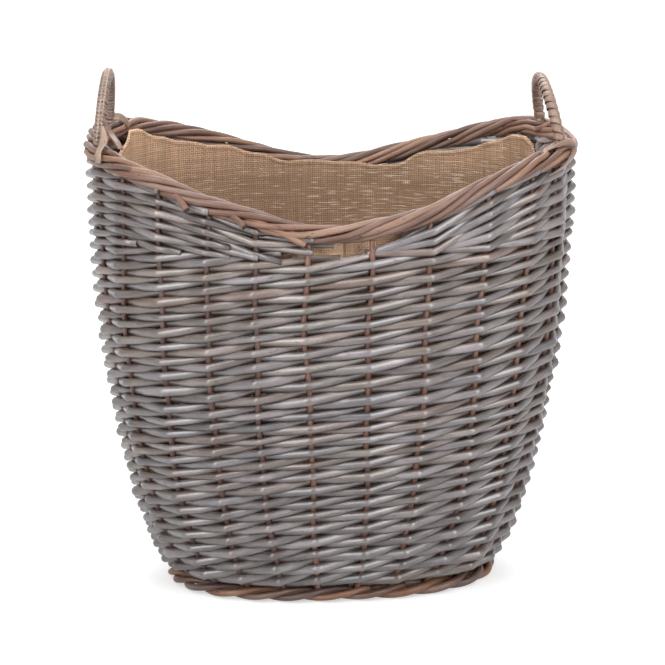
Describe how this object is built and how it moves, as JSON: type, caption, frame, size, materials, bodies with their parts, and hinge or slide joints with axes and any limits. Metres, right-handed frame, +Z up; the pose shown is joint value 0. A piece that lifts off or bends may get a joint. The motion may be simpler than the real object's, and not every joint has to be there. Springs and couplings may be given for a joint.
{
  "type": "lined basket",
  "caption": "Tall oval willow basket with a dipped rope border, two arched end handles wrapped in skein, and a sewn hessian lining.",
  "frame": {"origin": "middle of the footprint, on the surface that the basket stands on", "axes": "+X along the long side towards one handle, -Y towards the front, +Z up"},
  "size_m": [0.4714, 0.3364, 0.4997],
  "materials": {
    "base_willow": "matt, woven fine willow",
    "stick_willow": "matt, red-brown willow rod",
    "foot_willow": "satin, buff brown willow rod",
    "lower_siding_willow": "satin, grey-washed willow rod",
    "upper_siding_willow": "satin, pale grey-washed willow rod",
    "border_willow": "satin, brown willow rod",
    "handle_willow": "matt willow rod",
    "handle_skein": "satin split willow skein",
    "hessian": "coarse plain-weave jute cloth"
  },
  "bodies": {
    "root": {"base_weave": "base_willow", "base_cross_stick_1": "stick_willow", "base_cross_stick_2": "stick_willow", "base_cross_stick_3": "stick_willow", "base_cross_stick_4": "stick_willow", "base_cross_stick_5": "stick_willow", "base_long_stick_1": "stick_willow", "base_long_stick_2": "stick_willow", "base_long_stick_3": "stick_willow", "stake_01": "stick_willow", "stake_02": "stick_willow", "stake_03": "stick_willow", "stake_04": "stick_willow", "stake_05": "stick_willow", "stake_06": "stick_willow", "stake_07": "stick_willow", "stake_08": "stick_willow", "stake_09": "stick_willow", "stake_10": "stick_willow", "stake_11": "stick_willow", "stake_12": "stick_willow", "stake_13": "stick_willow", "stake_14": "stick_willow", "stake_15": "stick_willow", "stake_16": "stick_willow", "stake_17": "stick_willow", "stake_18": "stick_willow", "stake_19": "stick_willow", "stake_20": "stick_willow", "stake_21": "stick_willow", "stake_22": "stick_willow", "stake_23": "stick_willow", "stake_24": "stick_willow", "stake_25": "stick_willow", "stake_26": "stick_willow", "foot_wale_rod_1": "foot_willow", "foot_wale_rod_2": "foot_willow", "foot_wale_rod_3": "foot_willow", "lower_siding_rod_a": "lower_siding_willow", "lower_siding_rod_b": "lower_siding_willow", "upper_siding_rod_a": "upper_siding_willow", "upper_siding_rod_b": "upper_siding_willow", "border_rod_1": "border_willow", "border_rod_2": "border_willow", "border_rod_3": "border_willow", "border_rod_4": "border_willow", "left_handle_rod": "handle_willow", "right_handle_rod": "handle_willow", "left_handle_skein": "handle_skein", "right_handle_skein": "handle_skein", "lining_wall": "hessian", "lining_floor": "hessian"}
  },
  "joints": []
}
